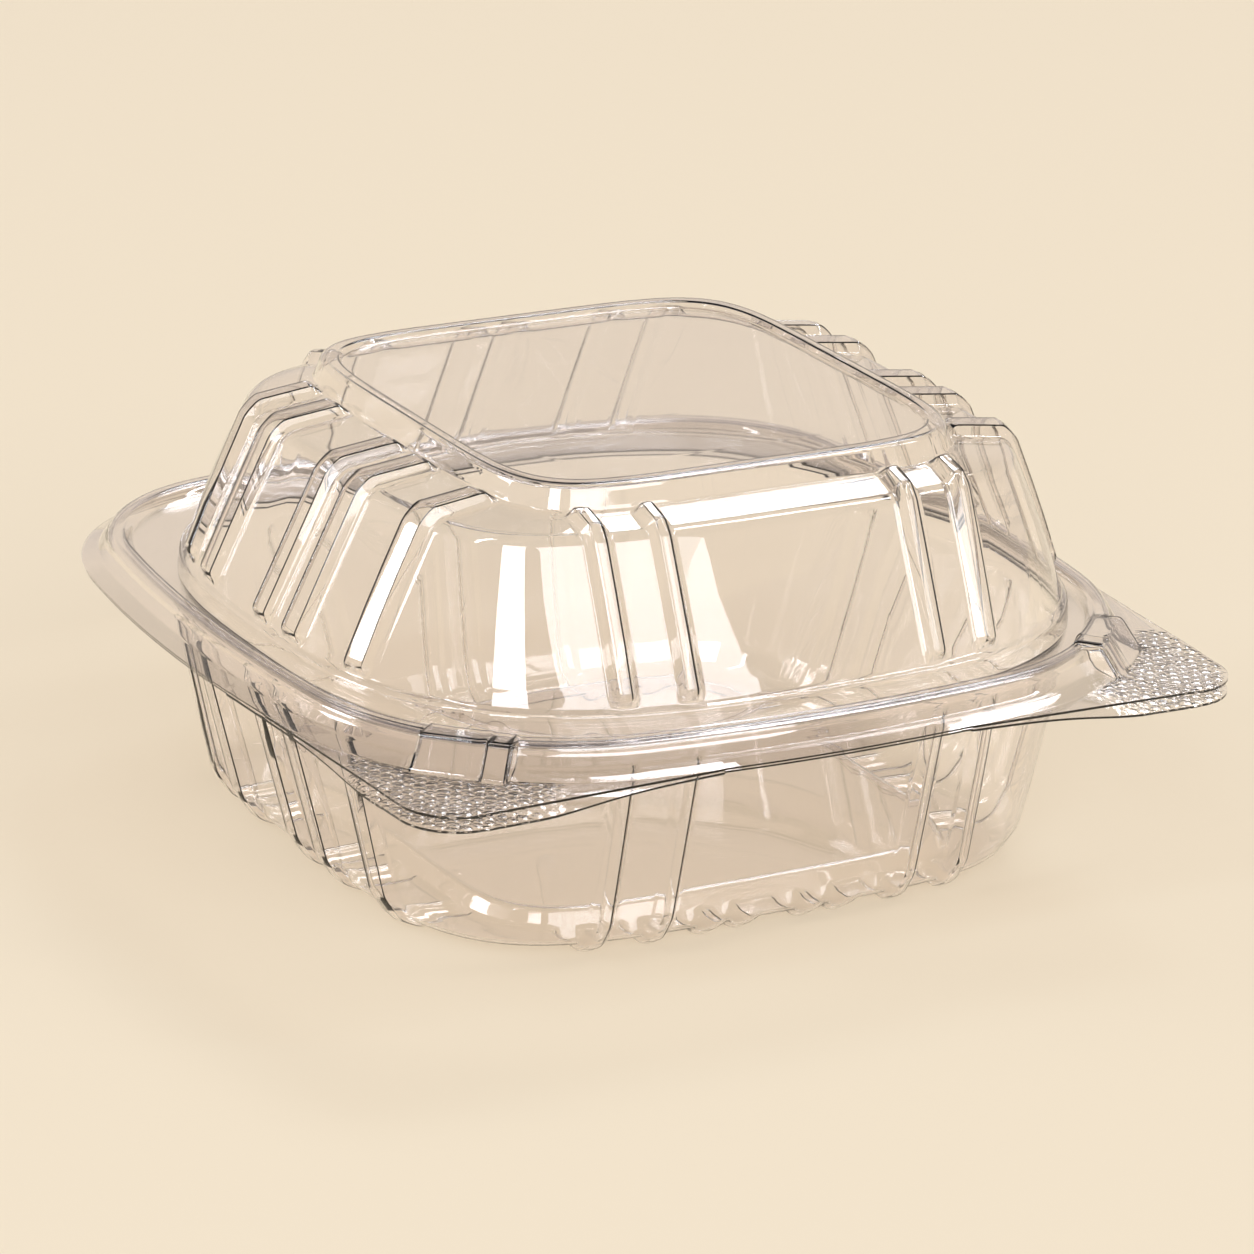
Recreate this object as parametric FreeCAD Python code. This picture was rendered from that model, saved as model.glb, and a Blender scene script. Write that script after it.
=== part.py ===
import FreeCAD, Part
import math
import os
from FreeCAD import Vector

# Hinged clear food pack thermoformed from thin sheet: a ribbed tub and a ribbed domed lid.
# Millimetres. +Z is up, the hinge is at the back (+Y) and the grip tabs are at the front corners.
# The origin is at the bottom centre of the pack's rim outline, on the surface that it stands on.

# Sheet and fit
sheet = 0.4            # thickness of the formed sheet
nest_gap = 0.25        # gap between the lid and the tub where they nest

# Rim, the same outline for lid and tub
rim_half_x = 72.0      # half width of the rim bead across the pack
rim_half_y = 70.0      # half depth of the rim bead, front to back
rim_bow = 7.5          # how far each rim side bows out between its corners
front_corner_r = 42.8  # rim corner radius beside the grip tabs
back_corner_r = 32.3   # rim corner radius beside the hinge
rim_flats = (3, 9, 6, 8, 6, 8, 6, 9, 3)  # flats in each stretch of the rim, round from the front's middle
bead_top_z = 41.2      # top of the lid's rim bead
bead_width = 3.4       # width of the rim bead inside the bead line
bead_height = 3.3      # height of the rim bead above the flange
bead_round = 0.9       # height of the bead's rounded shoulders
skirt_lean = 1.55      # how far the bead's outer side leans out at its foot
flange_width = 2.7     # width of the flat trim outside the bead
flange_drop = 1.2      # how far the trim slopes down to its edge
ledge_drop = 1.7       # how far the inner ledge lies below the bead's top
ledge_lip = 0.5        # flat of the ledge that is formed with the bead

# Body of the dome and the tub
body_centre_y = -3.4   # the dome and the tub sit a little nearer the front edge
foot_inset_x = 5.2     # how far inside the bead line the dome and the tub meet the ledge
foot_inset_y = 8.6
step_z = 43.0          # crease where the dome's wall starts to lean in
shoulder_inset_x = 12.4  # how far the dome's wall leans in up to its top
shoulder_inset_y = 13.0
pack_height = 73.0     # overall height, closed
shoulder_drop = 6.6    # how far the top of the dome's wall lies below the top
shelf_drop = 4.4       # how far the shelf round the raised window lies below the top
window_inset_x = 14.5  # how far the raised window lies inside the top of the dome's wall
window_inset_y = 8.0
window_rim = 1.7       # width of the rim round the window panel
recess_depth = 0.9     # how far the window panel lies below its rim
base_inset_x = 9.2     # how far the tub's wall leans in down to its bottom
base_inset_y = 7.2
base_z = 6.4           # height of the bottom of the tub's wall
foot_height = 1.4      # height of the feet under the tub's bottom edge
foot_length = 7.8      # length of the feet, towards the middle
panel_z = 4.4          # height of the tub's raised bottom panel
stack_room = 2.3       # room round a lid's window when another pack stands on it

# Wall ribs, as the places where each starts and ends along its side
rib_out = 1.7          # how far the ribs stand out of the walls
rib_flank = 1.3        # width of each sloping flank of a rib
rib_fade = 2.6         # height over which a rib fades out at the rim
corner_flats = 7       # flats that make up each rounded corner of the walls
flat_gap = 12.0        # a wall stretch between ribs is flat up to this width
side_flats = 3         # flats along each side of the raised window
side_share = 0.8       # share of each side of the window that they take
front_ribs = [(-34.4, -30.0), (-24.0, -19.8), (19.8, 24.0), (30.0, 34.4)]
back_ribs = [(-34.4, -30.0), (-24.0, -19.8), (-6.0, -1.6), (1.6, 6.0), (19.8, 24.0), (30.0, 34.4)]
side_ribs = [(-31.2, -25.2), (-14.8, -8.4), (-4.8, 1.2), (14.8, 21.2), (25.4, 30.6)]

# Grip tabs, corner locks and hinge
tab_reach_x = 2.0      # how far each tab's square tip would reach sideways past the bead line
tab_reach_y = 6.9      # how far it would reach past it to the front
tab_corner_r = 10.0    # radius of the tab's tip
tab_side_start = 28.0  # where a tab leaves the side of the rim
tab_front_start = 42.0  # where a tab leaves the front of the rim
trim_lap = 0.3         # how far the tabs and the hinge leaf lap into the flange's edge
lock_length = 13.0     # length of each corner lock along the rim
lock_top_width = 4.4   # width of each lock's top
lock_foot_lean = 3.6   # how far each lock's outer face leans out
lock_rise = 0.4        # how far each lock stands above the bead
hinge_half_width = 38.0  # half length of the straight fold line
hinge_reach = 5.7      # how far behind the bead line the fold line lies
hinge_crease = 0.3     # how far each leaf stops short of the fold line

# Places that follow from the sizes above
foot_half_x = rim_half_x - foot_inset_x
foot_half_y = rim_half_y - foot_inset_y
shoulder_half_x = foot_half_x - shoulder_inset_x
shoulder_half_y = foot_half_y - shoulder_inset_y
shoulder_z = pack_height - shoulder_drop
shelf_z = pack_height - shelf_drop
window_half_x = shoulder_half_x - window_inset_x
window_half_y = shoulder_half_y - window_inset_y
base_half_x = foot_half_x - base_inset_x
base_half_y = foot_half_y - base_inset_y
hinge_y = rim_half_y + hinge_reach
flange_z = bead_top_z - bead_height
flange_edge_z = flange_z - flange_drop
ledge_z = bead_top_z - ledge_drop
nest_drop = sheet + nest_gap


def mitred(points, depth):
    """An open line of (x, z) points moved to its left by a depth, with mitred corners."""
    moved = []
    for index, point in enumerate(points):
        normals = []
        for first, second in zip(points[max(index - 1, 0):index + 1], points[max(index, 1):index + 2]):
            run, rise = second[0] - first[0], second[1] - first[1]
            size = math.hypot(run, rise)
            normals.append((-rise / size, run / size))
        nx = sum(n[0] for n in normals) / len(normals)
        nz = sum(n[1] for n in normals) / len(normals)
        square = nx * nx + nz * nz
        moved.append((point[0] + nx * depth / square, point[1] + nz * depth / square))
    return moved


def level(half_x, half_y, power, z, out=0.0, up=0.0):
    """One height of a skin: a rounded outline, and how its ribs stand out and up there."""
    return {"x": half_x, "y": half_y, "n": power, "z": z, "out": out, "up": up}


def outline_point(lv, side, along):
    """Point of the outline |x/a|^n + |y/b|^n = 1 at a place along one side."""
    across_front = side in ("front", "back")
    half_along, half_across = (lv["x"], lv["y"]) if across_front else (lv["y"], lv["x"])
    across = half_across * (1 - (abs(along) / half_along) ** lv["n"]) ** (1 / lv["n"])
    sign = -1 if side in ("front", "left") else 1
    return (along, sign * across) if across_front else (sign * across, along)


def place(lv, point, out=0.0, up=0.0):
    """The outline's point in space, moved out of the wall and up."""
    nx = math.copysign((abs(point[0]) / lv["x"]) ** (lv["n"] - 1) / lv["x"], point[0])
    ny = math.copysign((abs(point[1]) / lv["y"]) ** (lv["n"] - 1) / lv["y"], point[1])
    size = math.hypot(nx, ny)
    return Vector(point[0] + nx / size * out, point[1] + ny / size * out + body_centre_y, lv["z"] + up)


def stretch_points(lv, start, end, count):
    """Points that follow the outline from one place on it to the next, in count steps."""
    angles = []
    for x, y in (start, end):
        along_x = math.copysign((abs(x) / lv["x"]) ** (lv["n"] / 2), x)
        along_y = math.copysign((abs(y) / lv["y"]) ** (lv["n"] / 2), y)
        angles.append(math.atan2(along_y, along_x))
    first, last = angles
    if last < first:
        last += 2 * math.pi
    points = [place(lv, start)]
    for step in range(1, count):
        angle = first + (last - first) * step / count
        x = math.copysign(lv["x"] * abs(math.cos(angle)) ** (2 / lv["n"]), math.cos(angle))
        y = math.copysign(lv["y"] * abs(math.sin(angle)) ** (2 / lv["n"]), math.sin(angle))
        points.append(place(lv, (x, y)))
    return points + [place(lv, end)]


def flats(lv, start, end, count):
    """A rounded stretch of the outline, as short flats."""
    points = stretch_points(lv, start, end, count)
    return [Part.makeLine(first, second) for first, second in zip(points, points[1:])]


def side_edge(lv, start, end, width):
    """A stretch of one side: flat between two near ribs, bowed where it is wide."""
    if width < flat_gap:
        return Part.makeLine(place(lv, start), place(lv, end))
    return Part.Arc(*stretch_points(lv, start, end, 2)).toShape()


def rib_runs(shift):
    """Every rib in order round the body: its side, its two feet and its two top corners."""
    runs = []
    for side, ribs in (("front", front_ribs), ("right", side_ribs), ("back", back_ribs), ("left", side_ribs)):
        backward = side in ("back", "left")
        for low, high in (reversed(ribs) if backward else ribs):
            feet = [low + shift, high - shift]
            tops = [low + shift + rib_flank, high - shift - rib_flank]
            if backward:
                feet.reverse()
                tops.reverse()
            runs.append((side, feet, tops))
    return runs


def ribbed_outline(lv, inset):
    """Edges of one level's closed outline, with each rib as a raised trapezoid."""
    shift = inset * math.tan(math.atan2(rib_out, rib_flank) / 2)
    runs = rib_runs(shift)
    edges = []
    for index, (side, feet, tops) in enumerate(runs):
        foot_a, foot_b = [outline_point(lv, side, along) for along in feet]
        top_a, top_b = [outline_point(lv, side, along) for along in tops]
        corners = [place(lv, foot_a), place(lv, top_a, lv["out"], lv["up"]),
                   place(lv, top_b, lv["out"], lv["up"]), place(lv, foot_b)]
        for start, end in zip(corners, corners[1:]):
            edges.append(Part.makeLine(start, end))
        next_side, next_feet, next_tops = runs[(index + 1) % len(runs)]
        next_foot = outline_point(lv, next_side, next_feet[0])
        if next_side == side:
            edges.append(side_edge(lv, foot_b, next_foot, abs(next_feet[0] - feet[1])))
        else:
            edges += flats(lv, foot_b, next_foot, corner_flats)
    return edges


def plain_outline(lv):
    """Edges of one level's closed outline where there are no ribs."""
    reach_x, reach_y = lv["x"] * side_share, lv["y"] * side_share
    ends = []
    for side, reach in (("front", reach_x), ("right", reach_y), ("back", reach_x), ("left", reach_y)):
        turn = -1 if side in ("back", "left") else 1
        ends.append([outline_point(lv, side, -reach * turn), outline_point(lv, side, reach * turn)])
    edges = []
    for (start, end), (next_start, _) in zip(ends, ends[1:] + ends[:1]):
        edges += flats(lv, start, end, side_flats)
        edges += flats(lv, end, next_start, corner_flats)
    return edges


def inner_levels(levels, closed_at_start):
    """The levels of the inner skin, one sheet inside the outer skin."""
    points = [(lv["x"], lv["z"]) for lv in levels]
    if closed_at_start:
        moved = mitred([(0.0, points[0][1])] + points, sheet)[1:]
    else:
        moved = mitred(points + [(0.0, points[-1][1])], sheet)[:-1]
    inner = []
    for lv, (x, z) in zip(levels, moved):
        inner.append(dict(lv, x=x, y=lv["y"] + x - lv["x"], z=z))
    return inner


def closed_solid(faces):
    shell = Part.makeShell(faces)
    shell.sewShape()
    solid = Part.makeSolid(Part.Shell(shell.Faces))
    if solid.Volume < 0:
        solid.reverse()
    return solid


def strip(low, high):
    """Faces between two levels' edges: flat beside the ribs, ruled where the outline curves."""
    if low.Curve.TypeId != "Part::GeomLine":
        return [Part.makeRuledSurface(low, high)]
    a, b = [vertex.Point for vertex in low.Vertexes]
    c, d = [vertex.Point for vertex in high.Vertexes]
    return [Part.Face(Part.makePolygon([a, b, d, a])), Part.Face(Part.makePolygon([a, d, c, a]))]


def skin(outlines):
    """Solid inside one skin of a body, through the outlines of all its levels."""
    faces = [Part.Face(Part.Wire(outlines[0])), Part.Face(Part.Wire(outlines[-1]))]
    for lower, upper in zip(outlines, outlines[1:]):
        for low, high in zip(lower, upper):
            faces += strip(low, high)
    return closed_solid(faces)


def arc_about(centre, start, end):
    radius = (start - centre).Length
    middle = centre + ((start + end) * 0.5 - centre).normalize() * radius
    return Part.Arc(start, middle, end).toShape()


def corner_fillet(side_centre, side_r, end_centre, end_r, corner_r):
    """Centre and ends of the arc that rounds the corner between a side arc and an end arc."""
    line = end_centre - side_centre
    span = line.Length
    line.normalize()
    along = ((side_r - corner_r) ** 2 - (end_r - corner_r) ** 2 + span ** 2) / (2 * span)
    lift = math.sqrt((side_r - corner_r) ** 2 - along ** 2)
    options = [side_centre + line * along + Vector(-line.y, line.x, 0) * sign * lift for sign in (1, -1)]
    centre = max(options, key=lambda option: option.x)
    on_side = side_centre + (centre - side_centre).normalize() * side_r
    on_end = end_centre + (centre - end_centre).normalize() * end_r
    return centre, on_side, on_end


def rim_arcs(offset, z):
    """The rim's outline, a distance outside the bead line: bowed sides and tangent corner arcs."""
    half_x, half_y = rim_half_x + offset, rim_half_y + offset
    side_r = ((rim_half_y - rim_bow) ** 2 + rim_bow ** 2) / (2 * rim_bow) + offset
    end_r = ((rim_half_x - rim_bow) ** 2 + rim_bow ** 2) / (2 * rim_bow) + offset
    side_c = Vector(half_x - side_r, 0, z)
    front_c = Vector(0, end_r - half_y, z)
    back_c = Vector(0, half_y - end_r, z)
    front = corner_fillet(side_c, side_r, front_c, end_r, front_corner_r + offset)
    back = corner_fillet(side_c, side_r, back_c, end_r, back_corner_r + offset)
    middle = Vector(0, -half_y, z)

    def flip(point):
        return Vector(-point.x, point.y, point.z)

    return [arc_about(front_c, middle, front[2]),
            arc_about(front[0], front[2], front[1]),
            arc_about(side_c, front[1], back[1]),
            arc_about(back[0], back[1], back[2]),
            arc_about(back_c, back[2], flip(back[2])),
            arc_about(flip(back[0]), flip(back[2]), flip(back[1])),
            arc_about(flip(side_c), flip(back[1]), flip(front[1])),
            arc_about(flip(front[0]), flip(front[1]), flip(front[2])),
            arc_about(front_c, flip(front[2]), middle)]


def rim_points(offset, z):
    """The same outline as corner points of short flats, so that every offset has parallel flats."""
    points = []
    for arc, count in zip(rim_arcs(offset, z), rim_flats):
        first, last = arc.FirstParameter, arc.LastParameter
        points += [arc.valueAt(first + (last - first) * step / count) for step in range(count)]
    return points


def rim_wire(offset, z):
    points = rim_points(offset, z)
    return Part.makePolygon(points + points[:1])


def rim_section():
    """Top skin of the lid's rim, from the trim's edge in to the ledge, as (offset, height)."""
    lip_start = -bead_width - (ledge_drop - bead_round) * 0.7
    return [(skirt_lean + flange_width, flange_edge_z),
            (skirt_lean, flange_z),
            (0.0, bead_top_z - bead_round),
            (-bead_round, bead_top_z),
            (-bead_width + bead_round, bead_top_z),
            (lip_start, ledge_z),
            (lip_start - ledge_lip, ledge_z)]


def swept_round_rim(points):
    """A closed section of (offset, height) points carried round the bead line."""
    rings = [rim_points(offset, z) for offset, z in points]
    faces = []
    for ring, next_ring in zip(rings, rings[1:] + rings[:1]):
        for index in range(len(ring)):
            a, b = ring[index - 1], ring[index]
            c, d = next_ring[index - 1], next_ring[index]
            faces.append(Part.Face(Part.makePolygon([a, b, d, c, a])))
    return closed_solid(faces)


def rim_solid(drop):
    """The rim's formed sheet, a drop below the lid's top skin."""
    top = mitred(rim_section(), drop) if drop else rim_section()
    return swept_round_rim(top + mitred(rim_section(), drop + sheet)[::-1])


def rim_hollow(drop):
    """Everything under the rim's sheet, which the other half's rim fills when closed."""
    under = mitred(rim_section(), drop + sheet / 2)
    low = flange_edge_z - drop - 4 * sheet
    return swept_round_rim(under + [(under[-1][0], low), (under[0][0], low)])


def prism(wire, height):
    return Part.Face(wire).extrude(Vector(0, 0, height))


def ledge_plate(drop):
    """Flat ledge inside the bead, before the body is opened through it."""
    lip_end = rim_section()[-1][0]
    return prism(rim_wire(lip_end, ledge_z - drop - sheet), sheet)


def tab_plate(z, side):
    """Rounded grip tab at one front corner; side is 1 for right and -1 for left."""
    tip = Vector((rim_half_x + tab_reach_x) * side, -rim_half_y - tab_reach_y, z)
    side_start = Vector((rim_half_x + skirt_lean + flange_width - 0.9) * side, -tab_side_start, z)
    front_start = Vector(tab_front_start * side, -rim_half_y - 0.9, z)
    to_side = (side_start - tip).normalize()
    to_front = (front_start - tip).normalize()
    half_angle = to_side.getAngle(to_front) / 2
    reach = tab_corner_r / math.tan(half_angle)
    centre = tip + (to_side + to_front).normalize() * (tab_corner_r / math.sin(half_angle))
    arc_a, arc_b = tip + to_side * reach, tip + to_front * reach
    inside = Vector(tab_front_start * side, -tab_side_start, z)
    wire = Part.Wire([Part.makeLine(inside, side_start), Part.makeLine(side_start, arc_a),
                      arc_about(centre, arc_a, arc_b), Part.makeLine(arc_b, front_start),
                      Part.makeLine(front_start, inside)])
    return prism(wire, sheet)


def trim_plates(drop):
    """Grip tabs and hinge leaf that grow out of the flange's edge."""
    z = flange_edge_z - drop - sheet
    leaf_depth = 10.0
    leaf = Part.makeBox(2 * hinge_half_width, leaf_depth, sheet,
                        Vector(-hinge_half_width, hinge_y - hinge_crease - leaf_depth, z))
    plates = leaf.fuse([tab_plate(z, 1), tab_plate(z, -1)])
    return plates.cut(prism(rim_wire(skirt_lean + flange_width - trim_lap, z - sheet), 3 * sheet))


def lock_block(side, inset):
    """Solid of one corner lock, square to the pack's diagonal."""
    half_top = lock_length / 2 - inset
    diagonal = Vector(side, -1, 0).normalize()
    along = Vector(-diagonal.y, diagonal.x, 0)
    corner = rim_arcs(0, 0)[1 if side > 0 else 7]
    reach = corner.valueAt((corner.FirstParameter + corner.LastParameter) / 2).dot(diagonal)
    back = reach - bead_width + sheet + inset
    front = back + lock_top_width - 2 * inset
    top_z = bead_top_z + lock_rise - inset
    foot_z = flange_edge_z - sheet - (inset if inset else 0.0)
    wires = []
    for z, lean in ((foot_z, lock_foot_lean), (top_z, 0.0)):
        widen = lean * 0.2
        points = [diagonal * back - along * (half_top + widen), diagonal * (front + lean) - along * (half_top + widen),
                  diagonal * (front + lean) + along * (half_top + widen), diagonal * back + along * (half_top + widen)]
        points = [Vector(point.x, point.y, z) for point in points]
        wires.append(Part.makePolygon(points + points[:1]))
    return Part.makeLoft(wires, True, True)


def formed_rim(drop):
    """Rim, ledge, tabs, hinge leaf and hollow corner locks of the lid or the tub."""
    rim = rim_solid(drop).fuse([ledge_plate(drop), trim_plates(drop)])
    for side in (1, -1):
        hollow = lock_block(side, drop + sheet)
        walls = lock_block(side, drop).cut([hollow, rim_hollow(drop)])
        rim = rim.cut(hollow).fuse(walls)
    return rim


def dome_levels():
    """Outer skin of the dome, from the ledge up to the shelf round the window."""
    lean = 0.4
    return [level(foot_half_x, foot_half_y, 2.9, ledge_z - sheet),
            level(foot_half_x - lean, foot_half_y - lean, 2.9, step_z),
            level(foot_half_x - lean - 1.5, foot_half_y - lean - 1.4, 2.95, step_z + rib_fade, rib_out),
            level(shoulder_half_x, shoulder_half_y, 4.05, shoulder_z, rib_out * 0.9, rib_out * 0.4),
            level(shoulder_half_x - 1.5, shoulder_half_y - 1.2, 4.2, shoulder_z + 0.9, rib_out * 0.4, rib_out),
            level(window_half_x + 3.5, window_half_y + 3.2, 5.2, shelf_z, 0.0, rib_out),
            level(window_half_x + 1.8, window_half_y + 1.8, 5.5, shelf_z + 0.4)]


def crown_levels():
    """Outer skin of the raised window, from inside the shelf's sheet up to the window panel."""
    top_x, top_y = window_half_x, window_half_y
    return [level(top_x + 1.2, top_y + 1.2, 5.6, shelf_z + 0.2),
            level(top_x + 0.7, top_y + 0.7, 5.7, pack_height - 0.6),
            level(top_x, top_y, 5.74, pack_height),
            level(top_x - window_rim, top_y - window_rim, 5.74, pack_height),
            level(top_x - window_rim - 0.6, top_y - window_rim - 0.6, 5.74, pack_height - recess_depth)]


def tub_levels():
    """Outer skin of the tub, from its bottom panel up to the ledge."""
    panel_x, panel_y = window_half_x + stack_room, window_half_y + stack_room
    foot_x, foot_y = base_half_x - 5.0, base_half_y - 4.6
    rim_x, rim_y = foot_half_x - 0.2, foot_half_y - 0.2
    ledge = ledge_z - nest_drop
    return [level(panel_x, panel_y, 5.7, panel_z),
            level(panel_x + 1.2, panel_y + 1.2, 5.6, foot_height + 0.5),
            level(foot_x - foot_length, foot_y - foot_length + 3.2, 5.2, foot_height, 0.0, -foot_height),
            level(foot_x, foot_y, 4.3, foot_height, 0.0, -foot_height),
            level(base_half_x - 2.2, base_half_y - 2.0, 4.1, foot_height + 1.2, rib_out * 0.5, -foot_height * 0.6),
            level(base_half_x, base_half_y, 4.0, base_z, rib_out),
            level(rim_x - 0.9, rim_y - 0.9, 3.0, ledge - 3.0 - rib_fade, rib_out * 0.9),
            level(rim_x - 0.1, rim_y - 0.1, 2.9, ledge - 3.0),
            level(rim_x, rim_y, 2.9, ledge)]


def ribbed_skin(levels, inset):
    return skin([ribbed_outline(lv, inset) for lv in levels])


def plain_skin(levels):
    return skin([plain_outline(lv) for lv in levels])


def lid():
    dome, crown = dome_levels(), crown_levels()
    dome_inside = inner_levels(dome, False)
    crown_inside = inner_levels(crown, False)
    below_dome = dict(dome_inside[0], z=dome_inside[0]["z"] - 1.0)
    below_crown = dict(crown_inside[0], z=crown_inside[0]["z"] - sheet)
    body = formed_rim(0.0).fuse([ribbed_skin(dome, 0.0), plain_skin(crown)])
    return body.cut([ribbed_skin([below_dome] + dome_inside, sheet), plain_skin([below_crown] + crown_inside)])


def tub():
    outer = tub_levels()
    inner = inner_levels(outer, True)
    above = dict(inner[-1], z=inner[-1]["z"] + 1.0)
    body = formed_rim(nest_drop).fuse(ribbed_skin(outer, 0.0))
    return body.cut(ribbed_skin(inner + [above], sheet))


os.makedirs("parts", exist_ok=True)
for name, shape in (("base_tub", tub()), ("hinged_lid", lid())):
    shape = shape.removeSplitter()
    box = shape.BoundBox
    print(name, "solids", len(shape.Solids), "faces", len(shape.Faces), "valid", shape.isValid(),
          "volume", round(shape.Volume), "x", round(box.XMin, 2), round(box.XMax, 2),
          "y", round(box.YMin, 2), round(box.YMax, 2), "z", round(box.ZMin, 2), round(box.ZMax, 2))
    shape.exportStep("parts/%s.step" % name)
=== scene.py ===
import math

import bpy
import numpy as np
from mathutils import Matrix, Vector
from mathutils.geometry import delaunay_2d_cdt


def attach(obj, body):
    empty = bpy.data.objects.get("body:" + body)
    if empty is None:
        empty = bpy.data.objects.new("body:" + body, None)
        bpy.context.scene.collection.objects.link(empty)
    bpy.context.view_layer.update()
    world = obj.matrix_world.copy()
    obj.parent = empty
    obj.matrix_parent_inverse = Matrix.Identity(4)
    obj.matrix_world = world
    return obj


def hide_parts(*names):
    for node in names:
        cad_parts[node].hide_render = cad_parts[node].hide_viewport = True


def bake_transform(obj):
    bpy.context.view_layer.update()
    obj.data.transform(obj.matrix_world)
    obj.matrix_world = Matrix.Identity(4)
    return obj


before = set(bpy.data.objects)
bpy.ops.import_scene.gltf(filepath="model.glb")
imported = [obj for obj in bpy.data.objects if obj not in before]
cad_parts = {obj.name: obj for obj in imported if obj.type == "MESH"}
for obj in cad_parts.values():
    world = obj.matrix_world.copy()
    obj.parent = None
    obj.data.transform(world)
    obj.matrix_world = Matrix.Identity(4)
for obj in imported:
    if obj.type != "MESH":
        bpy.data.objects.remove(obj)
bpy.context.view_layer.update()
mm = 0.001
print("frame loaded")

# everything below is in millimetres until a mesh is made from it
sheet = {
    "thickness": 0.4,
    "nestDrop": 0.65,  # how far the tub's rim lies below the lid's
    "centreY": -3.4,  # middle of the dome and the tub
    "rowStep": 8,  # longest step between two rings
}

rim = {
    "halfX": 71.95,
    "halfY": 70.0,
    "bow": 7.5,
    "frontCornerR": 42.8,
    "backCornerR": 32.3,
    # distance outside the bead line, height, straightened at a lock, rounding
    "section": [
        (4.25, 36.7, 0.0, 0.3),
        (1.55, 37.9, 0.0, 0.35),
        (0.45, 39.4, 0.0, 0.3),
        (0.15, 40.5, 0.0, 0.35),
        (-0.75, 41.2, 0.0, 0.35),
        (-2.5, 41.2, 0.0, 0.35),
        (-3.4, 40.3, 0.0, 0.35),
        (-3.96, 39.5, 0.0, 0.3),
        (-4.46, 39.5, 0.0, 0.3),
    ],
    # the same corners where the rim turns into a corner lock
    "lockSection": [
        (5.1, 36.6, 1.0, 0.3),
        (4.55, 37.1, 1.0, 0.3),
        (2.7, 39.74, 1.0, 0.3),
        (1.75, 41.1, 1.0, 0.3),
        (1.2, 41.6, 1.0, 0.3),
        (-2.85, 41.6, 0.6, 0.3),
        (-3.3, 41.0, 0.5, 0.3),
        (-3.96, 39.5, 0.0, 0.3),
        (-4.46, 39.5, 0.0, 0.3),
    ],
}

lock = {
    "end": 7.35,  # half length at its foot
    "top": 6.85,
    "capTo": -3.2,  # where the raised cap at the front end stops
    "capRise": 0.35,
    "groove": 0.45,  # depth of the groove between the cap and the long face
    "grooveGap": 0.3,  # from the cap's end to the groove's middle
    "grooveHalf": 0.5,
    "capEdge": 0.2,
    # places of the mesh's columns along the lock
    "columns": [-7.6, -7.35, -7.1, -6.85, -6.6, -5.6, -4.5, -3.5, -3.2, -3.0, -2.8, -2.6, -1.8, -0.9,
                0.0, 0.9, 1.8, 2.7, 3.6, 4.5, 5.4, 6.3, 6.6, 6.85, 7.1, 7.35, 7.6],
    "besideStep": 1.7,  # spacing of the columns beside the lock
}

# rings of the dome from the ledge up to the window's middle:
# half width, half depth, outline power, height, rib out, rib up, rounding
dome = [
    (66.8, 61.4, 2.9, 39.5, 0.0, 0.0, 0.0),
    (66.5, 61.1, 2.9, 42.6, 0.0, 0.0, 0.45),
    (65.4, 60.1, 2.92, 43.3, 0.0, 0.0, 0.45),
    (64.7, 59.4, 2.95, 45.2, 1.7, 0.0, 0.7),
    (54.4, 48.4, 4.05, 66.4, 1.55, 0.7, 0.8),
    (52.9, 47.2, 4.2, 67.4, 0.7, 1.9, 0.7),
    (43.4, 43.6, 5.2, 68.6, 0.0, 1.9, 0.7),
    (41.7, 42.2, 5.5, 69.0, 0.0, 0.0, 0.4),
    (40.6, 41.1, 5.7, 72.4, 0.0, 0.0, 0.3),
    (39.9, 40.4, 5.74, 73.0, 0.0, 0.0, 0.25),
    (38.2, 38.7, 5.74, 73.0, 0.0, 0.0, 0.25),
    (37.6, 38.1, 5.74, 72.1, 0.0, 0.0, 0.3),
    (30.0, 30.5, 5.0, 72.05, 0.0, 0.0, 0.0),
    (12.0, 12.2, 3.0, 72.0, 0.0, 0.0, 0.0),
]

# and of the tub, from the bottom's middle up to the ledge
tub = [
    (12.0, 12.2, 3.0, 4.45, 0.0, 0.0, 0.0),
    (30.0, 30.5, 5.0, 4.42, 0.0, 0.0, 0.0),
    (42.2, 42.7, 5.7, 4.4, 0.0, 0.0, 0.4),
    (43.4, 43.9, 5.6, 1.9, 0.0, 0.0, 0.4),
    (44.8, 45.0, 5.2, 1.4, 0.0, -1.4, 0.4),
    (52.6, 49.6, 4.3, 1.4, 0.0, -1.4, 0.8),
    (55.4, 52.2, 4.1, 2.6, 0.85, -0.7, 1.0),
    (57.6, 54.2, 4.0, 6.4, 1.7, 0.0, 1.0),
    (65.7, 60.3, 3.0, 33.25, 1.53, 0.0, 0.8),
    (66.5, 61.1, 2.9, 35.85, 0.0, 0.0, 0.6),
    (66.6, 61.2, 2.9, 38.45, 0.0, 0.0, 0.4),
]

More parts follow.
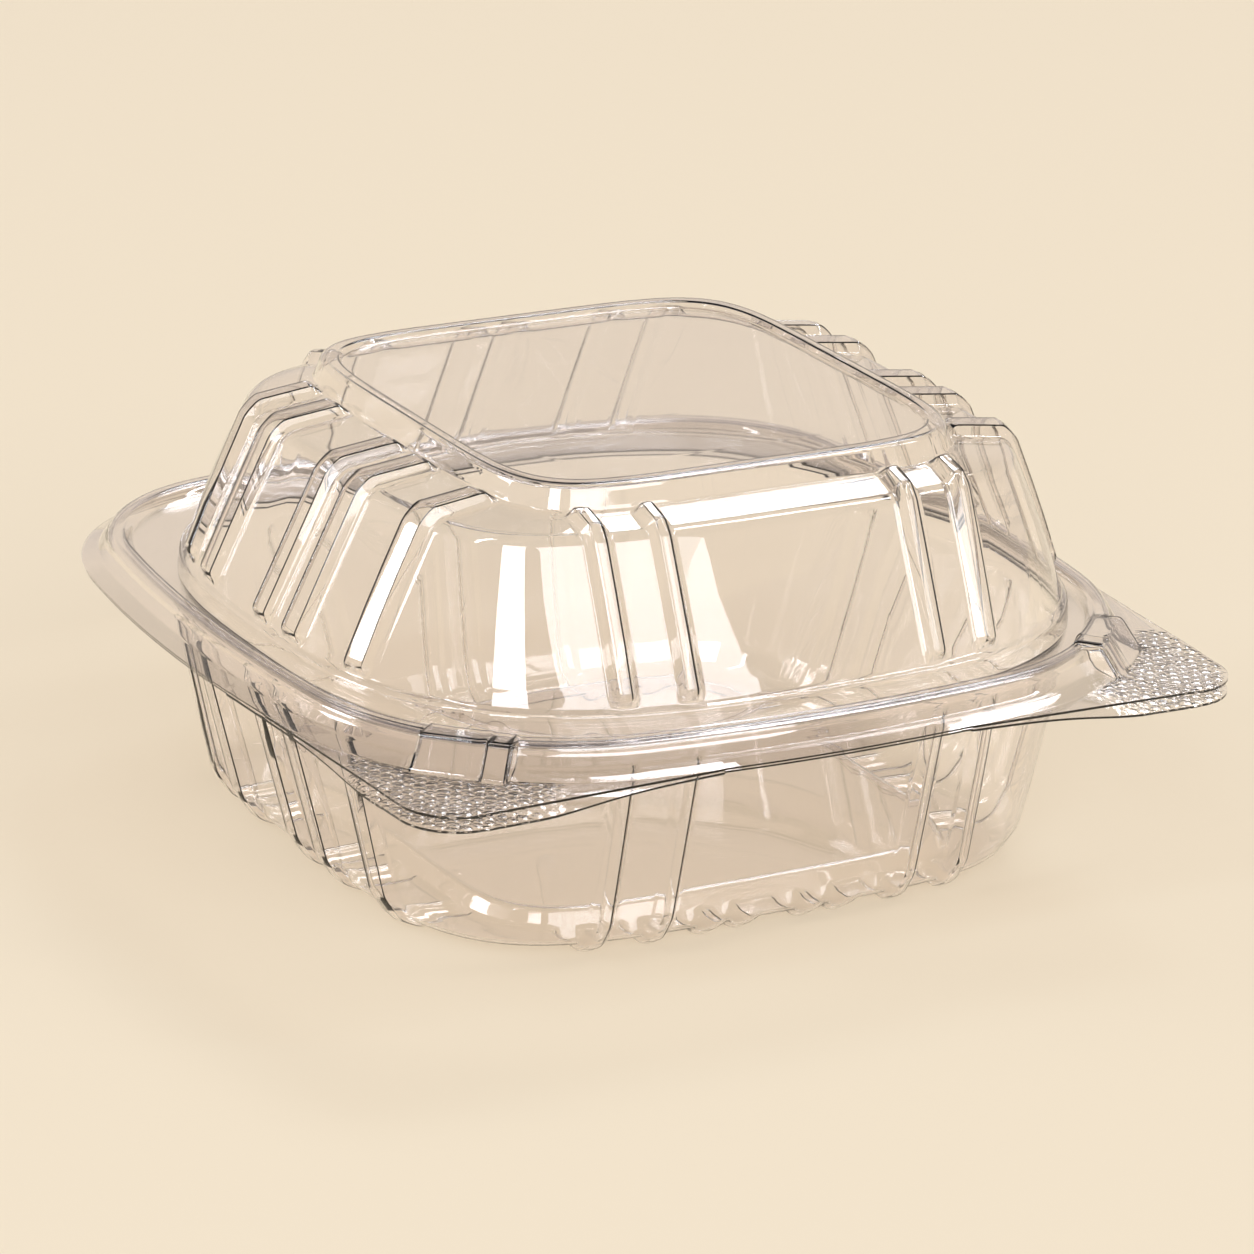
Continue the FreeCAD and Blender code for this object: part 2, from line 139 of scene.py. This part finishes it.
ribs = {
    "flank": 1.3,
    "front": [(-34.4, -30.0), (-24.0, -19.8), (19.8, 24.0), (30.0, 34.4)],
    "side": [(-31.2, -25.2), (-14.8, -8.4), (-4.8, 1.2), (14.8, 21.2), (25.4, 30.6)],
    "back": [(-34.4, -30.0), (-24.0, -19.8), (-6.0, -1.6), (1.6, 6.0), (19.8, 24.0), (30.0, 34.4)],
    "frontFeet": [(-14.8, -9.4), (-8.4, -3.2), (3.2, 8.4), (9.4, 14.8)],  # feet with no rib above them
    # places across a flank and how high it is there
    "flankShape": [(-0.5, 0.0), (-0.12, 0.0), (0.04, 0.07), (0.2, 0.2), (0.8, 0.8), (0.96, 0.93)],
    "gapStep": 4.2,  # spacing of the columns on the flat stretches
    "footSteps": 8,  # columns across a front foot
    "footPower": 0.7,  # how full a foot's arch is
    "edgeStrip": 0.715,  # flat strip kept beside the outermost ribs
    "backCornerSteps": 22,
}

tabs = {
    "tip": (72.6, -75.15),  # where the right tab's edges would meet
    "cornerR": 9.0,
    "sideStart": (75.7, -14.0),  # where they leave the flange
    "frontStart": (20.0, -73.45),
    "edgeSteps": 3,  # points on a tab's edge for each column of the rim
    "spacing": 0.37,  # of the points inside a tab
    "cell": 2.0,  # size of the pebbled grip's cells
    "cellRise": 0.2,
    "droop": 1.9,  # how far the tub's tabs bend down
}

leaf = {
    "halfWidth": 38.0,
    "edgeY": 75.02,
}


def smooth(t):
    t = np.clip(t, 0.0, 1.0)
    return t * t * (3 - 2 * t)


def arcPoints(centre, start, end, count):
    first = math.atan2(start[1] - centre[1], start[0] - centre[0])
    last = math.atan2(end[1] - centre[1], end[0] - centre[0])
    turn = (last - first + math.pi) % (2 * math.pi) - math.pi
    radius = math.hypot(start[0] - centre[0], start[1] - centre[1])
    turns = first + turn * np.arange(count) / count
    return np.column_stack([centre[0] + radius * np.cos(turns), centre[1] + radius * np.sin(turns)])


def cornerArc(sideCentre, sideR, endCentre, endR, cornerR):
    # the arc that rounds a side arc into an end arc: its centre and its two ends
    line = endCentre - sideCentre
    span = np.linalg.norm(line)
    line = line / span
    along = ((sideR - cornerR) ** 2 - (endR - cornerR) ** 2 + span ** 2) / (2 * span)
    lift = math.sqrt((sideR - cornerR) ** 2 - along ** 2)
    across = np.array([-line[1], line[0]]) * lift
    options = [sideCentre + line * along + across * sign for sign in (1, -1)]
    centre = max(options, key=lambda option: option[0])
    onSide = sideCentre + (centre - sideCentre) / np.linalg.norm(centre - sideCentre) * sideR
    onEnd = endCentre + (centre - endCentre) / np.linalg.norm(centre - endCentre) * endR
    return centre, onSide, onEnd


def rimOutline(offset):
    halfX, halfY, bow = rim["halfX"], rim["halfY"], rim["bow"]
    sideR = ((halfY - bow) ** 2 + bow ** 2) / (2 * bow) + offset
    endR = ((halfX - bow) ** 2 + bow ** 2) / (2 * bow) + offset
    sideC = np.array([halfX + offset - sideR, 0.0])
    frontC = np.array([0.0, endR - halfY - offset])
    backC = np.array([0.0, halfY + offset - endR])
    frontArc = cornerArc(sideC, sideR, frontC, endR, rim["frontCornerR"] + offset)
    backArc = cornerArc(sideC, sideR, backC, endR, rim["backCornerR"] + offset)
    half = np.concatenate([
        arcPoints(frontC, np.array([0.0, -halfY - offset]), frontArc[2], 40),
        arcPoints(frontArc[0], frontArc[2], frontArc[1], 60),
        arcPoints(sideC, frontArc[1], backArc[1], 60),
        arcPoints(backArc[0], backArc[1], backArc[2], 60),
        arcPoints(backC, backArc[2], np.array([0.0, halfY + offset]), 40),
        [[0.0, halfY + offset]]])
    other = half[1:-1][::-1] * np.array([-1.0, 1.0])
    return np.concatenate([half, other])


def reachAlong(outline, turns):
    # how far a closed outline lies from the body's middle in each direction
    centred = outline - np.array([0.0, sheet["centreY"]])
    turn = np.unwrap(np.arctan2(centred[:, 1], centred[:, 0]))
    reach = np.hypot(centred[:, 0], centred[:, 1])
    wrapped = turn[0] + np.mod(turns - turn[0], 2 * math.pi)
    return np.interp(wrapped, np.append(turn, turn[0] + 2 * math.pi), np.append(reach, reach[0]))


def onOutline(a, b, n, side, place):
    # the point of |x/a|^n + |y/b|^n = 1 at a place along one side
    if side in (0, 2):
        across = b * (1 - np.abs(place / a) ** n) ** (1 / n)
        return place, across * (-1 if side == 0 else 1)
    across = a * (1 - np.abs(place / b) ** n) ** (1 / n)
    return across * (1 if side == 1 else -1), place


# how far the ribbed stretch of each side reaches, going round against the clock from the front
reachAcross = ribs["front"][-1][1] + ribs["edgeStrip"]
sideHigh = ribs["side"][-1][1] + ribs["edgeStrip"]
sideLow = ribs["side"][0][0] - ribs["edgeStrip"]
zoneEnd = {0: reachAcross, 1: sideHigh, 2: -reachAcross, 3: sideLow}
zoneStart = {0: -reachAcross, 1: sideLow, 2: reachAcross, 3: sideHigh}


def cornerPoints(a, b, n, side, squeeze, parts):
    # points round the corner after a side, at shares of the way
    nextSide = (side + 1) % 4
    start = onOutline(a, b, n, side, zoneEnd[side] * squeeze[side])
    end = onOutline(a, b, n, nextSide, zoneStart[nextSide] * squeeze[nextSide])
    turns = []
    for px, py in (start, end):
        turns.append(math.atan2(math.copysign(abs(py / b) ** (n / 2), py),
                                math.copysign(abs(px / a) ** (n / 2), px)))
    if turns[1] < turns[0]:
        turns[1] += 2 * math.pi
    turn = turns[0] + (turns[1] - turns[0]) * parts
    x = a * np.sign(np.cos(turn)) * np.abs(np.cos(turn)) ** (2 / n)
    y = b * np.sign(np.sin(turn)) * np.abs(np.sin(turn)) ** (2 / n)
    return x, y


def lockColumns():
    # shares of the way round the front right corner that put columns where the lock needs them
    parts = np.linspace(0, 1, 600)
    x, y = cornerPoints(*dome[0][:3], 0, [1.0] * 4, parts)
    turns = np.arctan2(y, x)
    reach = reachAlong(rimOutline(0.0), turns)
    along = (reach * np.cos(turns) + reach * np.sin(turns) + sheet["centreY"]) / math.sqrt(2)
    before = lock["columns"][0] - along[0]
    after = along[-1] - lock["columns"][-1]
    first = round(before / lock["besideStep"])
    last = round(after / lock["besideStep"])
    wanted = [along[0] + before * k / first for k in range(1, first)]
    wanted += lock["columns"]
    wanted += [lock["columns"][-1] + after * k / last for k in range(1, last)]
    return np.interp(wanted, along, parts)


def makeStations():
    # where each column of the mesh sits on its side, how high its rib is there and how deep its foot
    sides, along, rise, feet = [], [], [], []
    frontCorner = lockColumns()
    for side, ribSpans in ((0, ribs["front"]), (1, ribs["side"]), (2, ribs["back"]), (3, ribs["side"])):
        spans = [(low, high, True) for low, high in ribSpans]
        if side == 0:
            spans = sorted(spans + [(low, high, False) for low, high in ribs["frontFeet"]])
        columns = []
        edge = spans[0][0]
        for low, high, isRib in spans:
            gap = max(1, round((low - edge) / ribs["gapStep"]))
            for k in range(1, gap):
                columns.append((edge + (low - edge) * k / gap, 0.0, 0.0))
            if isRib:
                flank = [(ribs["flank"] * place, height) for place, height in ribs["flankShape"]]
                up = [(low + place, height) for place, height in flank]
                down = [(high - place, height) for place, height in flank[::-1]]
                shape = up + [((low + high) / 2, 1.0)] + down
            else:
                steps = ribs["footSteps"]
                shape = [(low + (high - low) * k / steps, 0.0) for k in range(steps + 1)]
            for place, height in shape:
                share = np.clip((place - low) / (high - low), 0, 1)
                columns.append((place, height, math.sin(math.pi * share) ** ribs["footPower"]))
            edge = high
        if side >= 2:
            columns = columns[::-1]
        sides += [side] * len(columns)
        along += [column[0] for column in columns]
        rise += [column[1] for column in columns]
        feet += [column[2] for column in columns]
        if side == 0:
            corner = frontCorner
        elif side == 3:
            corner = 1 - frontCorner[::-1]
        else:
            corner = np.arange(1, ribs["backCornerSteps"]) / ribs["backCornerSteps"]
        sides += [side + 4] * len(corner)
        along += list(corner)
        rise += [0.0] * len(corner)
        feet += [0.0] * len(corner)
    return np.array(sides), np.array(along), np.array(rise), np.array(feet)


stationSide, stationAlong, stationRise, stationFoot = makeStations()


def bodyRow(row):
    # one ring of the dome or the tub, with its ribs
    a, b, n, z, out, up = row[:6]
    x = np.zeros(len(stationSide))
    y = np.zeros(len(stationSide))
    corner = 0.93 * 2 ** (-1 / n)
    squeeze = [min(1.0, corner * a / reachAcross), min(1.0, corner * b / -sideLow)] * 2
    for side in range(4):
        here = stationSide == side
        x[here], y[here] = onOutline(a, b, n, side, stationAlong[here] * squeeze[side])
        here = stationSide == side + 4
        x[here], y[here] = cornerPoints(a, b, n, side, squeeze, stationAlong[here])
    nx = np.sign(x) * np.abs(x / a) ** (n - 1) / a
    ny = np.sign(y) * np.abs(y / b) ** (n - 1) / b
    size = np.hypot(nx, ny)
    x = x + nx / size * out * stationRise
    y = y + ny / size * out * stationRise + sheet["centreY"]
    return np.column_stack([x, y, z + up * (stationFoot if up < 0 else stationRise)])


def roundedPath(rows, height, steps=3):
    # rows of numbers, whose last is how much that corner is rounded; height says which number is z
    rows = [np.array(row, float) for row in rows]
    path = [rows[0]]
    for before, here, after in zip(rows, rows[1:], rows[2:]):
        spanA = math.hypot(here[0] - before[0], here[height] - before[height])
        spanB = math.hypot(after[0] - here[0], after[height] - here[height])
        if here[-1] <= 0:
            path.append(here)
            continue
        start = here + (before - here) * min(0.45, here[-1] / spanA)
        end = here + (after - here) * min(0.45, here[-1] / spanB)
        for k in range(steps + 1):
            t = k / steps
            path.append(start * (1 - t) ** 2 + here * 2 * t * (1 - t) + end * t * t)
    path.append(rows[-1])
    return path


def withSteps(path, longest, nearEnd=0.35):
    # extra rows on the long straight stretches, and close to their ends to keep them flat
    dense = [path[0]]
    for before, here in zip(path, path[1:]):
        span = math.hypot(here[0] - before[0], here[3] - before[3])
        count = max(1, math.ceil(span / longest))
        shares = [k / count for k in range(1, count + 1)]
        if span > 1.5:
            shares = sorted(shares + [nearEnd / span, 1 - nearEnd / span])
        for share in shares:
            dense.append(before + (here - before) * share)
    return dense


footRing = bodyRow(dome[0])
angles = np.unwrap(np.arctan2(footRing[:, 1] - sheet["centreY"], footRing[:, 0]))
directions = np.column_stack([np.cos(angles), np.sin(angles)])


def ringAt(reach, z):
    flat = directions * reach[:, None] + np.array([0.0, sheet["centreY"]])
    return np.column_stack([flat, np.zeros(len(angles)) + z])


def lockPlace():
    # each column's place along its lock, and far away where there is none
    onBead = ringAt(reachAlong(rimOutline(0.0), angles), 0.0)
    place = (np.abs(onBead[:, 0]) + onBead[:, 1]) / math.sqrt(2)
    return np.where(onBead[:, 1] < 0, place, 99.0)


columnPlace = lockPlace()


def mitred(points, depth):
    # a section line moved to its left by a depth
    moved = []
    for index, point in enumerate(points):
        normals = []
        for first, second in zip(points[max(index - 1, 0):index + 1], points[max(index, 1):index + 2]):
            run, height = second[0] - first[0], second[1] - first[1]
            size = math.hypot(run, height)
            normals.append((-height / size, run / size))
        nx = sum(n[0] for n in normals) / len(normals)
        nz = sum(n[1] for n in normals) / len(normals)
        square = nx * nx + nz * nz
        moved.append((point[0] + nx * depth / square, point[1] + nz * depth / square))
    return moved


def rimSections(depth):
    # the rim's rounded section and the lock's, row by row, from the ledge out to the flange
    paths = []
    for name in ("section", "lockSection"):
        corners = rim[name]
        line = [corner[:2] for corner in corners]
        if depth:
            line = mitred(line, depth)
        rows = [(offset, z, corner[2], corner[3]) for (offset, z), corner in zip(line, corners)]
        paths.append(roundedPath(rows, 1)[::-1])
    return list(zip(*paths))


def rimRows(depth):
    inLock = smooth((lock["end"] - np.abs(columnPlace)) / (lock["end"] - lock["top"]))
    capEdge = (lock["capTo"] + lock["capEdge"] - columnPlace) / lock["capEdge"]
    grooveEdge = 1 - np.abs(columnPlace - lock["capTo"] - lock["grooveGap"]) / lock["grooveHalf"]
    shape = lock["capRise"] * smooth(capEdge) - lock["groove"] * smooth(grooveEdge * 2)
    bulge = np.minimum(np.abs(columnPlace), lock["end"]) ** 2 / (2 * rim["frontCornerR"])
    rows = []
    for plain, locked in rimSections(depth):
        low = reachAlong(rimOutline(plain[0]), angles)
        high = reachAlong(rimOutline(locked[0]), angles) + locked[2] * (bulge + shape)
        rows.append(ringAt(low + (high - low) * inLock, plain[1] + (locked[1] - plain[1]) * inLock))
    return rows


def tabOutline():
    # outer edge of the right tab, from the front round its tip to the side
    tip = np.array(tabs["tip"])
    sideStart = np.array(tabs["sideStart"])
    frontStart = np.array(tabs["frontStart"])
    toSide = (sideStart - tip) / np.linalg.norm(sideStart - tip)
    toFront = (frontStart - tip) / np.linalg.norm(frontStart - tip)
    halfAngle = math.acos(np.dot(toSide, toFront)) / 2
    reach = tabs["cornerR"] / math.tan(halfAngle)
    middle = toSide + toFront
    centre = tip + middle / np.linalg.norm(middle) * tabs["cornerR"] / math.sin(halfAngle)
    arc = arcPoints(centre, tip + toFront * reach, tip + toSide * reach, 24)
    steps = np.linspace(0, 1, 30)[:, None]
    toArc = frontStart + (arc[0] - frontStart) * steps[:-1]
    fromArc = tip + toSide * reach + (sideStart - tip - toSide * reach) * steps
    return np.concatenate([toArc, arc, fromArc])


def tabReach(turns):
    # how far a tab reaches in each direction, or nothing where there is none
    outline = tabOutline() - np.array([0.0, sheet["centreY"]])
    folded = np.arctan2(np.sin(turns), np.abs(np.cos(turns)))
    outlineTurns = np.arctan2(outline[:, 1], outline[:, 0])
    outlineReach = np.hypot(outline[:, 0], outline[:, 1])
    return np.interp(folded, outlineTurns, outlineReach, left=0.0, right=0.0)


def pebbles(points):
    # height of the pebbled grip: rounded cells with grooves between them
    cell = tabs["cell"]
    draw = np.random.RandomState(7)
    centres = []
    for j in range(int(60 / (cell * 0.87))):
        for k in range(int(60 / cell)):
            centres.append((30 + cell * (k + 0.5 * (j % 2)), 28 + cell * 0.87 * j))
    centres = np.array(centres) + draw.uniform(-0.2, 0.2, (len(centres), 2)) * cell
    folded = np.abs(points)
    apart = np.hypot(folded[:, None, 0] - centres[None, :, 0], folded[:, None, 1] - centres[None, :, 1])
    nearest = np.sort(apart, axis=1)[:, :2]
    walls = smooth((nearest[:, 1] - nearest[:, 0]) / (0.4 * cell))
    return tabs["cellRise"] * walls


def tabMesh(edge, columns, droop, firstIndex):
    # one grip tab between the flange's edge and its own outline, as points and triangles
    inner = edge[columns]
    turns = np.unwrap(angles[columns])
    edgeReach = np.hypot(inner[:, 0], inner[:, 1] - sheet["centreY"])
    fine = np.interp(np.arange(0, (len(columns) - 1) * tabs["edgeSteps"] + 1) / tabs["edgeSteps"],
                     np.arange(len(columns)), turns)
    outerReach = tabReach(fine)
    outer = np.column_stack([outerReach * np.cos(fine), outerReach * np.sin(fine) + sheet["centreY"]])
    step = tabs["spacing"]
    low, high = outer.min(axis=0), outer.max(axis=0)
    inside = []
    for j in range(int((high[1] - low[1]) / (step * 0.866)) + 1):
        xs = low[0] + step * (0.5 * (j % 2)) + step * np.arange(int((high[0] - low[0]) / step) + 1)
        inside.append(np.column_stack([xs, np.full(len(xs), low[1] + j * step * 0.866)]))
    inside = np.concatenate(inside)
    turn = np.arctan2(inside[:, 1] - sheet["centreY"], inside[:, 0])
    turn += 2 * math.pi * np.round((turns.mean() - turn) / (2 * math.pi))
    reach = np.hypot(inside[:, 0], inside[:, 1] - sheet["centreY"])
    onTab = (turn > turns[0]) & (turn < turns[-1])
    onTab &= (reach > np.interp(turn, turns, edgeReach) + 0.22) & (reach < tabReach(turn) - 0.2)
    inside = inside[onTab]
    flat = np.concatenate([inner[:, :2], outer[::-1], inside])
    border = len(inner) + len(outer)
    corners, _, faces, source, _, _ = delaunay_2d_cdt(
        [Vector(p) for p in flat], [], [list(range(border))], 1, 1e-5)
    turn = np.arctan2(flat[:, 1] - sheet["centreY"], flat[:, 0])
    turn += 2 * math.pi * np.round((turns.mean() - turn) / (2 * math.pi))
    fromEdge = np.hypot(flat[:, 0], flat[:, 1] - sheet["centreY"]) - np.interp(turn, turns, edgeReach)
    toOutline = tabReach(turn) - np.interp(turn, turns, edgeReach) - fromEdge
    gripped = smooth((15.5 - np.abs(np.interp(turn, turns, columnPlace[columns]))) / 3)
    z = np.interp(turn, turns, inner[:, 2]) - droop * smooth(fromEdge / 9)
    z += pebbles(flat) * gripped * smooth((fromEdge - 0.3) / 0.7) * smooth((toOutline - 0.35) / 0.6)
    points = np.column_stack([flat, z])[len(inner):]
    place = {}
    for index, origins in enumerate(source):
        first = origins[0]
        onEdge = first < len(inner)
        place[index] = firstIndex[0] + columns[first] if onEdge else firstIndex[1] + first - len(inner)
    return points, [tuple(place[corner] for corner in face) for face in faces]


def gridFaces(rowCount, count, flip):
    faces = []
    for r in range(rowCount - 1):
        for c in range(count):
            d = (c + 1) % count
            face = (r * count + c, r * count + d, (r + 1) * count + d, (r + 1) * count + c)
            faces.append(face[::-1] if flip else face)
    return faces


def makeObject(name, points, faces):
    mesh = bpy.data.meshes.new(name)
    mesh.from_pydata([tuple(p) for p in points * mm], [], faces)
    mesh.validate()
    mesh.update()
    obj = bpy.data.objects.new(name, mesh)
    bpy.context.scene.collection.objects.link(obj)
    return obj


def smoothShaded(obj, sharpAngle):
    obj.data.polygons.foreach_set("use_smooth", [True] * len(obj.data.polygons))
    obj.data.set_sharp_from_angle(angle=math.radians(sharpAngle))


def formSheet(name, rows, flip, droop):
    # a sheet from its first ring out to the flange, with its tabs and hinge leaf, then its thickness
    count = len(angles)
    points = np.concatenate(rows)
    faces = gridFaces(len(rows), count, flip)
    middle = len(points)
    points = np.concatenate([points, [points[:count].mean(axis=0)]])
    for c in range(count):
        face = (middle, (c + 1) % count, c)
        faces.append(face[::-1] if flip else face)
    edge = rows[-1]
    edgeStart = (len(rows) - 1) * count
    reach = tabReach(angles)
    onTab = reach > np.hypot(edge[:, 0], edge[:, 1] - sheet["centreY"]) + 0.05
    for side in (1, -1):
        columns = np.flatnonzero(onTab & (edge[:, 0] * side > 0))
        breaks = np.flatnonzero(np.diff(columns) > 1)
        if len(breaks):
            columns = np.roll(columns, -(breaks[0] + 1))
        extra, triangles = tabMesh(edge, columns, droop, (edgeStart, len(points)))
        points = np.concatenate([points, extra])
        faces += triangles if flip else [face[::-1] for face in triangles]
    columns = np.flatnonzero((np.abs(edge[:, 0]) < leaf["halfWidth"]) & (edge[:, 1] > 0))
    leafStart = len(points)
    points = np.concatenate([points, [(edge[c, 0], leaf["edgeY"], edge[c, 2]) for c in columns]])
    for k in range(len(columns) - 1):
        c, d = edgeStart + columns[k], edgeStart + columns[k + 1]
        face = (c, d, leafStart + k + 1, leafStart + k)
        faces.append(face[::-1] if flip else face)
    obj = makeObject(name, points, faces)
    solid = obj.modifiers.new("thickness", "SOLIDIFY")
    solid.thickness = sheet["thickness"] * mm
    solid.offset = -1
    bpy.context.view_layer.update()
    evaluated = obj.evaluated_get(bpy.context.evaluated_depsgraph_get())
    thick = bpy.data.meshes.new_from_object(evaluated)
    obj.modifiers.clear()
    obj.data = thick
    smoothShaded(obj, 40)
    print(name, sum(len(face.vertices) - 2 for face in thick.polygons), "triangles")
    return obj


def makeLid():
    rows = [bodyRow(row) for row in withSteps(roundedPath(dome[::-1], 3), sheet["rowStep"])]
    return formSheet("lidSheet", rows + rimRows(0.0), True, 0.0)


def makeTub():
    rows = [bodyRow(row) for row in withSteps(roundedPath(tub, 3), sheet["rowStep"])]
    rows += rimRows(sheet["nestDrop"] + sheet["thickness"])
    return formSheet("tubSheet", rows, False, tabs["droop"])


fold = {
    "y": 75.04,  # where the film meets the two leaves
    "z": 36.22,
    "outer": (0.34, 0.48),
    "inner": (0.06, 0.09),
    "segments": 24,
}


def makeFold():
    # the living hinge: a film bent round from the tub's leaf to the lid's
    turns = np.linspace(-math.pi / 2, math.pi / 2, 11)
    curves = []
    for across, up in (fold["outer"], fold["inner"]):
        curves.append([(fold["y"] + across * math.cos(t), fold["z"] + up * math.sin(t)) for t in turns])
    section = curves[0] + curves[1][::-1]
    size = len(section)
    points = []
    for k in range(fold["segments"] + 1):
        x = leaf["halfWidth"] * (2 * k / fold["segments"] - 1)
        points += [(x, y, z) for y, z in section]
    faces = [tuple(range(size)), tuple(range(len(points) - 1, len(points) - size - 1, -1))]
    for k in range(fold["segments"]):
        for i in range(size):
            j = (i + 1) % size
            faces.append((k * size + j, k * size + i, (k + 1) * size + i, (k + 1) * size + j))
    film = makeObject("hingeFold", np.array(points), faces)
    smoothShaded(film, 60)
    return film


lidPiece = makeLid()
tubPiece = makeTub()
foldPiece = makeFold()
print("sheets made")

plastic = {
    "colour": (0.985, 0.967, 0.96),
    "shadow": (0.95, 0.935, 0.92),
    "roughness": 0.012,
    "ior": 1.575,
    "waveScale": 45.0,  # the formed sheet's faint waves
    "waveHeight": 0.00006,
}


def clearPlastic():
    mat = bpy.data.materials.new("clearPlastic")
    mat.use_nodes = True
    nodes, links = mat.node_tree.nodes, mat.node_tree.links
    shader = nodes["Principled BSDF"]
    output = nodes["Material Output"]
    shader.inputs["Base Color"].default_value = (*plastic["colour"], 1)
    shader.inputs["Roughness"].default_value = plastic["roughness"]
    shader.inputs["IOR"].default_value = plastic["ior"]
    shader.inputs["Transmission Weight"].default_value = 1.0
    coords = nodes.new("ShaderNodeTexCoord")
    waves = nodes.new("ShaderNodeTexNoise")
    waves.inputs["Scale"].default_value = plastic["waveScale"]
    waves.inputs["Detail"].default_value = 1.0
    bump = nodes.new("ShaderNodeBump")
    bump.inputs["Distance"].default_value = plastic["waveHeight"]
    links.new(coords.outputs["Object"], waves.inputs["Vector"])
    links.new(waves.outputs["Fac"], bump.inputs["Height"])
    links.new(bump.outputs["Normal"], shader.inputs["Normal"])
    seeThrough = nodes.new("ShaderNodeBsdfTransparent")
    seeThrough.inputs["Color"].default_value = (*plastic["shadow"], 1)
    path = nodes.new("ShaderNodeLightPath")
    towardsFloor = nodes.new("ShaderNodeMath")
    towardsFloor.operation = "MAXIMUM"  # light on its way to the floor goes straight through
    mix = nodes.new("ShaderNodeMixShader")
    links.new(path.outputs["Is Shadow Ray"], towardsFloor.inputs[0])
    links.new(path.outputs["Is Diffuse Ray"], towardsFloor.inputs[1])
    links.new(towardsFloor.outputs["Value"], mix.inputs["Fac"])
    links.new(shader.outputs["BSDF"], mix.inputs[1])
    links.new(seeThrough.outputs["BSDF"], mix.inputs[2])
    links.new(mix.outputs["Shader"], output.inputs["Surface"])
    return mat


clearMaterial = clearPlastic()
for piece in (lidPiece, tubPiece, foldPiece):
    piece.data.materials.clear()
    piece.data.materials.append(clearMaterial)
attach(lidPiece, "lid")
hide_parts("hinged_lid")
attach(tubPiece, "tub")
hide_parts("base_tub")
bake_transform(foldPiece)
print("materials set")

studio = {
    "floorColour": (0.829, 0.712, 0.528),
    "worldLow": (0.66, 0.58, 0.52),  # colour round the horizon, like the backdrop
    "worldHigh": (0.163, 0.158, 0.166),  # and overhead
    "worldTurn": (0.35, 0.6),  # between these heights on a sphere it goes from one to the other
    "softboxes": [
        # name, direction from the front towards +X, height angle, distance, width, height, watts
        ("frontBox", 4.5, 29, 9.0, 7.6, 4.5, 440.0),
        ("nearBox", -42, 27, 9.0, 2.5, 4.7, 260.0),
        ("leftBox", -118, 18, 9.0, 2.5, 2.7, 200.0),
        ("backBox", 131, 48, 9.0, 2.7, 2.3, 180.0),
        ("leftStrip", -78, 50, 9.0, 0.45, 5.0, 160.0),
        ("rightStrip", 66, 48, 9.0, 0.45, 5.0, 160.0),
    ],
    "boxColour": (0.9, 0.93, 1.0),
    "aim": (0.0, 0.0, 0.03),
    "floorSize": 12.0,
}


def makeFloor():
    bpy.ops.mesh.primitive_plane_add(size=studio["floorSize"], location=(0, 0, 0))
    floor = bpy.context.object
    floor.name = "floorSweep"
    mat = bpy.data.materials.new("warmPaper")
    mat.use_nodes = True
    shader = mat.node_tree.nodes["Principled BSDF"]
    shader.inputs["Base Color"].default_value = (*studio["floorColour"], 1)
    shader.inputs["Roughness"].default_value = 0.9
    shader.inputs["Specular IOR Level"].default_value = 0.1
    floor.data.materials.append(mat)


def makeWorld():
    world = bpy.data.worlds.new("studioWorld")
    bpy.context.scene.world = world
    world.use_nodes = True
    nodes, links = world.node_tree.nodes, world.node_tree.links
    coords = nodes.new("ShaderNodeTexCoord")
    split = nodes.new("ShaderNodeSeparateXYZ")
    ramp = nodes.new("ShaderNodeValToRGB")
    colours = (studio["worldLow"], studio["worldHigh"])
    for stop, place, colour in zip(ramp.color_ramp.elements, studio["worldTurn"], colours):
        stop.position = place
        stop.color = (*colour, 1)
    links.new(coords.outputs["Generated"], split.inputs["Vector"])
    links.new(split.outputs["Z"], ramp.inputs["Fac"])
    links.new(ramp.outputs["Color"], nodes["Background"].inputs["Color"])


def makeLights():
    for name, turn, rise, distance, width, height, watts in studio["softboxes"]:
        turn, rise = math.radians(turn), math.radians(rise)
        flat = distance * math.cos(rise)
        place = Vector((math.sin(turn) * flat, -math.cos(turn) * flat, distance * math.sin(rise)))
        data = bpy.data.lights.new(name, "AREA")
        data.shape = "RECTANGLE"
        data.size = width
        data.size_y = height
        data.energy = watts
        data.color = studio["boxColour"]
        lamp = bpy.data.objects.new(name, data)
        lamp.location = place
        lamp.rotation_euler = (Vector(studio["aim"]) - place).to_track_quat("-Z", "Y").to_euler()
        bpy.context.scene.collection.objects.link(lamp)


makeFloor()
makeWorld()
makeLights()
bpy.context.scene.view_settings.view_transform = "Standard"

shot = {
    "place": (-461.0, -783.06, 364.36),
    "right": (0.86711346, -0.49633445, 0.04202808),
    "up": (0.13692138, 0.31862815, 0.9379385),
    "back": (-0.47892252, -0.80754456, 0.34424556),
    "lens": 172.25,
}


def makeCamera():
    data = bpy.data.cameras.new("shotCamera")
    data.lens = shot["lens"]
    data.sensor_width = 36
    data.clip_start = 0.01
    camera = bpy.data.objects.new("shotCamera", data)
    turn = Matrix((shot["right"], shot["up"], shot["back"])).transposed()
    camera.matrix_world = Matrix.Translation(Vector(shot["place"]) * mm) @ turn.to_4x4()
    bpy.context.scene.collection.objects.link(camera)
    bpy.context.scene.camera = camera


makeCamera()
print("studio ready")
